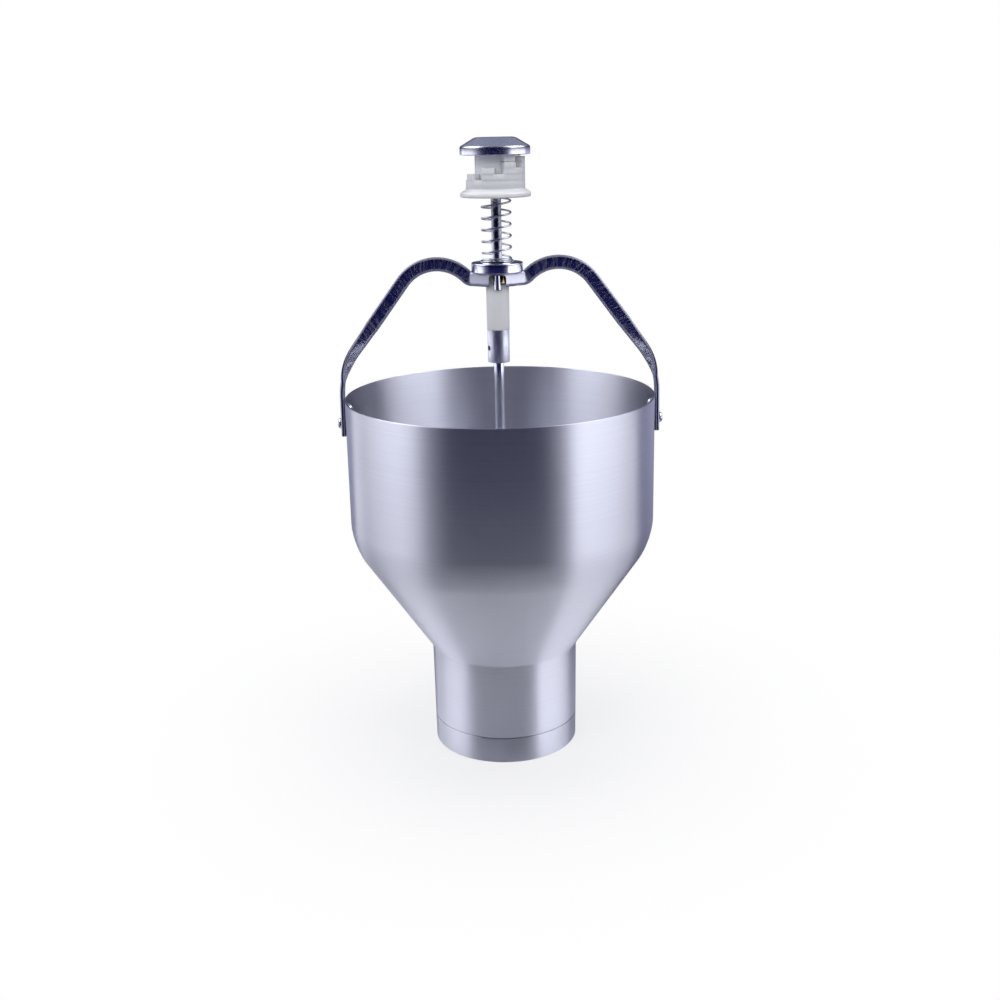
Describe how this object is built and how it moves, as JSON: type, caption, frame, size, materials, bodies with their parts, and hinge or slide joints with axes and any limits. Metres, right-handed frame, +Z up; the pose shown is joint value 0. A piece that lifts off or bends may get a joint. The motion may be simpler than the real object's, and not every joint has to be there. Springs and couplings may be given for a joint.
{
  "type": "pancake batter dispenser",
  "caption": "Spun funnel with a two-strip handle over its mouth and a sprung plunger with a stepped dose dial under its knob.",
  "frame": {"origin": "centre of the outlet ring's lower face, which the dispenser stands on", "axes": "+Z up along the plunger, +X towards the right tab of the handle, -Y towards the front of the picture"},
  "size_m": [0.2118, 0.2, 0.3999],
  "materials": {
    "hopper": "satin, fine brushing round the axis",
    "outlet_block": "satin turned",
    "outlet_seal": "matte",
    "handle_strip_front": "polished, fine cross grain on the flat",
    "handle_strip_back": "polished, fine cross grain on the flat",
    "rivet_upper_left": "satin",
    "rivet_upper_right": "satin",
    "rivet_lower_left": "satin",
    "rivet_lower_right": "satin",
    "hub_collar": "polished",
    "guide_bush": "turned",
    "guide_pin": "polished",
    "return_spring": "drawn wire",
    "plunger_rod": "ground and polished",
    "stop_sleeve": "milky nylon",
    "ferrule": "satin turned",
    "grub_screw": "dark",
    "dosing_piston": "nylon",
    "piston_seal": "matte",
    "spacer_tube": "satin",
    "valve_disc": "nylon",
    "valve_seal": "matte",
    "bottom_nut": "satin",
    "lug_barrel": "milky nylon",
    "knob": "polished",
    "dial_ring": "matte",
    "dose_dial": "milky nylon"
  },
  "bodies": {
    "funnel": {"hopper": "hopper", "outlet_block": "outlet_block", "outlet_seal": "outlet_seal", "handle_strip_front": "handle_strip_front", "handle_strip_back": "handle_strip_back", "rivet_upper_left": "rivet_upper_left", "rivet_upper_right": "rivet_upper_right", "rivet_lower_left": "rivet_lower_left", "rivet_lower_right": "rivet_lower_right", "hub_collar": "hub_collar", "guide_bush": "guide_bush", "guide_pin": "guide_pin", "return_spring": "return_spring"},
    "plunger": {"plunger_rod": "plunger_rod", "stop_sleeve": "stop_sleeve", "ferrule": "ferrule", "grub_screw": "grub_screw", "dosing_piston": "dosing_piston", "piston_seal": "piston_seal", "spacer_tube": "spacer_tube", "valve_disc": "valve_disc", "valve_seal": "valve_seal", "bottom_nut": "bottom_nut", "lug_barrel": "lug_barrel", "knob": "knob"},
    "dial_carrier": {"dial_ring": "dial_ring"},
    "dial": {"dose_dial": "dose_dial"}
  },
  "joints": [
    {"name": "press", "type": "slide", "parent": "funnel", "child": "plunger", "axis": [0, 0, -1], "range_m": [0, 0.03], "stiffness_N_per_m": 400, "springref_m": -0.025, "deforming": ["return_spring"]},
    {"name": "dial_pull", "type": "slide", "parent": "plunger", "child": "dial_carrier", "axis": [0, 0, -1], "range_m": [0, 0.0032]},
    {"name": "dial_turn", "type": "hinge", "parent": "dial_carrier", "child": "dial", "pos_m": [0, 0, 0.368], "axis": [0, 0, 1], "range_deg": [-20, 180]}
  ]
}
